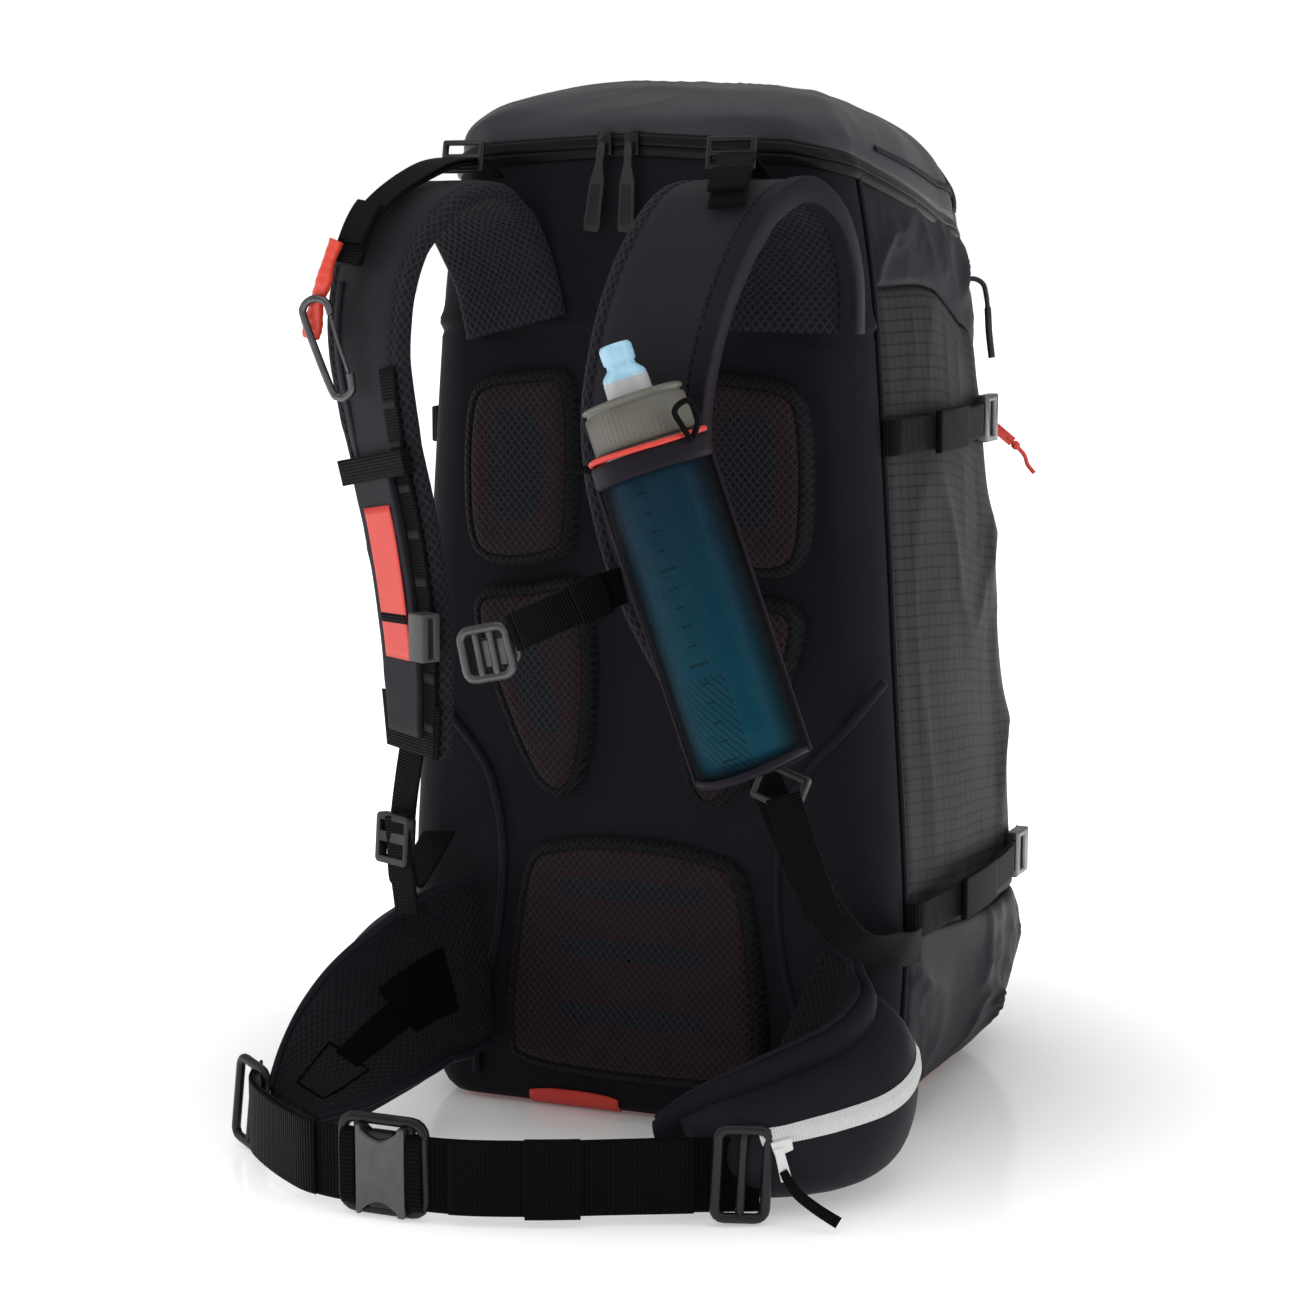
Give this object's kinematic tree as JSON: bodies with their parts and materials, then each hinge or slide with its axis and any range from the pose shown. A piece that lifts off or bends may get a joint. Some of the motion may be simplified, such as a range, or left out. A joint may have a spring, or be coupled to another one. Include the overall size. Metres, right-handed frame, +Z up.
{
  "type": "avalanche airbag backpack",
  "caption": "Ski-touring airbag backpack with padded harness, hip belt with pockets, clamshell zip and a soft flask on the shoulder strap.",
  "frame": {"origin": "on the ground under the bag, midway between the sides, 112 mm in from the outer face of the back panel", "axes": "+Z up, -Y the harness side that the wearer leans on, +X to the right when looking at the harness"},
  "size_m": [0.3596, 0.5135, 0.588],
  "materials": {
    "charcoal_fabric": "matte woven",
    "dark_fabric": "matte woven",
    "ripstop": "ripstop weave",
    "red_fabric": "coated weave",
    "zip_tape": "coated",
    "dark_metal": "satin",
    "pull_tab": "matte",
    "sheet_plastic": "matte",
    "alloy": "brushed",
    "airbag_fabric": "ripstop weave",
    "steel_bottle": "satin",
    "black_plastic": "moulded",
    "mesh_foam": "spacer mesh",
    "webbing": "woven webbing",
    "red_handle": "moulded",
    "carabiner_alloy": "anodised",
    "gate_wire": "polished wire",
    "grey_plastic": "moulded",
    "buckle_metal": "gunmetal satin",
    "pocket_mesh": "stretch mesh",
    "flask_film": "translucent film",
    "cap_plastic": "moulded",
    "valve_silicone": "translucent",
    "bungee_cord": "braided",
    "white_pull": "moulded"
  },
  "bodies": {
    "bag": {"back_panel": "charcoal_fabric", "side_panel_left": "ripstop", "side_panel_right": "ripstop", "lower_shell": "dark_fabric", "upper_shell": "dark_fabric", "front_panel": "dark_fabric", "lid": "dark_fabric", "base_panel": "red_fabric", "front_pocket": "dark_fabric", "main_zip": "zip_tape", "frame_sheet": "sheet_plastic", "frame_stays": "alloy", "airbag": "airbag_fabric", "release_head": "black_plastic", "upper_pad_left": "mesh_foam", "upper_pad_right": "mesh_foam", "lower_pad_left": "mesh_foam", "lower_pad_right": "mesh_foam", "lumbar_pad": "mesh_foam", "strap_left": "charcoal_fabric", "strap_right": "charcoal_fabric", "lifter_webbings": "webbing", "lifter_rings": "black_plastic", "trigger_sleeve": "dark_fabric", "daisy_chain": "webbing", "sternum_slider": "grey_plastic", "sternum_webbing": "webbing", "sternum_frame": "buckle_metal", "sternum_hook": "buckle_metal", "lower_webbings": "webbing", "bottle_pocket": "pocket_mesh", "pocket_bungee": "bungee_cord", "wing_left": "mesh_foam", "wing_right": "mesh_foam", "wing_pocket_left": "dark_fabric", "wing_pocket_right": "dark_fabric", "belt_webbing": "webbing", "belt_socket": "buckle_metal", "belt_tongue": "black_plastic", "belt_sliders": "black_plastic", "compression_webbing": "webbing", "compression_buckles": "buckle_metal"},
    "slider_left": {"zip_slider_left": "dark_metal"},
    "slider_right": {"zip_slider_right": "dark_metal"},
    "pull_left": {"zip_pull_left": "pull_tab"},
    "pull_right": {"zip_pull_right": "pull_tab"},
    "pocket_pull": {"pocket_zip_pull": "pull_tab"},
    "cord_pull": {"red_pull": "red_fabric"},
    "cylinder": {"gas_cylinder": "steel_bottle"},
    "handle": {"trigger_handle": "red_handle"},
    "carabiner": {"carabiner": "carabiner_alloy"},
    "gate": {"carabiner_gate": "gate_wire"},
    "ladder_left": {"ladder_lock_left": "black_plastic"},
    "ladder_right": {"ladder_lock_right": "black_plastic"},
    "flask": {"flask": "flask_film"},
    "cap": {"flask_cap": "cap_plastic"},
    "valve": {"bite_valve": "valve_silicone"},
    "button_upper": {"belt_button_upper": "black_plastic"},
    "button_lower": {"belt_button_lower": "black_plastic"},
    "wing_pull": {"wing_zip_pull": "white_pull"}
  },
  "joints": [
    {"name": "left_slider_run", "type": "slide", "parent": "bag", "child": "slider_left", "axis": [-1, 0, 0], "range_m": [0, 0.02]},
    {"name": "right_slider_run", "type": "slide", "parent": "bag", "child": "slider_right", "axis": [1, 0, 0], "range_m": [0, 0.045]},
    {"name": "left_pull_swing", "type": "hinge", "parent": "slider_left", "child": "pull_left", "pos_m": [-0.0174, -0.12, 0.5488], "axis": [-1, 0, 0], "range_deg": [0, 150]},
    {"name": "right_pull_swing", "type": "hinge", "parent": "slider_right", "child": "pull_right", "pos_m": [-0.0014, -0.12, 0.5488], "axis": [-1, 0, 0], "range_deg": [0, 150]},
    {"name": "pocket_pull_swing", "type": "hinge", "parent": "bag", "child": "pocket_pull", "pos_m": [0.118, 0.125, 0.466], "axis": [0.9061, 0.423, 0], "range_deg": [0, 40]},
    {"name": "cord_pull_swing", "type": "hinge", "parent": "bag", "child": "cord_pull", "pos_m": [0.122, 0.131, 0.392], "axis": [0.3419, -0.9397, 0], "range_deg": [0, 30]},
    {"name": "cylinder_turn", "type": "hinge", "parent": "bag", "child": "cylinder", "pos_m": [0.064, -0.058, 0.25], "axis": [0, 0, 1], "continuous": true},
    {"name": "handle_pull", "type": "slide", "parent": "bag", "child": "handle", "axis": [-0.2421, 0, -0.9703], "range_m": [0, 0.03]},
    {"name": "carabiner_swing", "type": "hinge", "parent": "handle", "child": "carabiner", "pos_m": [-0.141, -0.222, 0.466], "axis": [0, 1, 0], "range_deg": [-12, 15]},
    {"name": "gate_open", "type": "hinge", "parent": "carabiner", "child": "gate", "pos_m": [-0.1186, -0.222, 0.4296], "axis": [0, -1, 0], "range_deg": [0, 20], "stiffness_Nm_per_rad": 0.02},
    {"name": "left_lock_tilt", "type": "hinge", "parent": "bag", "child": "ladder_left", "pos_m": [-0.106, -0.203, 0.186], "axis": [-0.9136, 0.4067, 0], "range_deg": [0, 25]},
    {"name": "right_lock_tilt", "type": "hinge", "parent": "bag", "child": "ladder_right", "pos_m": [0.1238, -0.2022, 0.2283], "axis": [-0.9397, 0, 0.342], "range_deg": [0, 25]},
    {"name": "flask_lift", "type": "slide", "parent": "bag", "child": "flask", "axis": [-0.342, 0, 0.9397], "range_m": [0, 0.15]},
    {"name": "cap_turn", "type": "hinge", "parent": "flask", "child": "cap", "pos_m": [0.123, -0.246, 0.232], "axis": [-0.342, 0, 0.9397], "continuous": true},
    {"name": "valve_pull", "type": "slide", "parent": "cap", "child": "valve", "axis": [-0.342, 0, 0.9397], "range_m": [0, 0.003]},
    {"name": "upper_button_press", "type": "slide", "parent": "bag", "child": "button_upper", "axis": [0, 0, -1], "range_m": [0, 0.003], "stiffness_N_per_m": 400},
    {"name": "lower_button_press", "type": "slide", "parent": "bag", "child": "button_lower", "axis": [0, 0, 1], "range_m": [0, 0.003], "stiffness_N_per_m": 400},
    {"name": "wing_pull_swing", "type": "hinge", "parent": "bag", "child": "wing_pull", "pos_m": [0.141, -0.252, 0.04], "axis": [0.375, -0.927, 0], "range_deg": [0, 40]}
  ],
  "couplings": [
    {"joint": "lower_button_press", "follows": "upper_button_press", "ratio": 1}
  ]
}
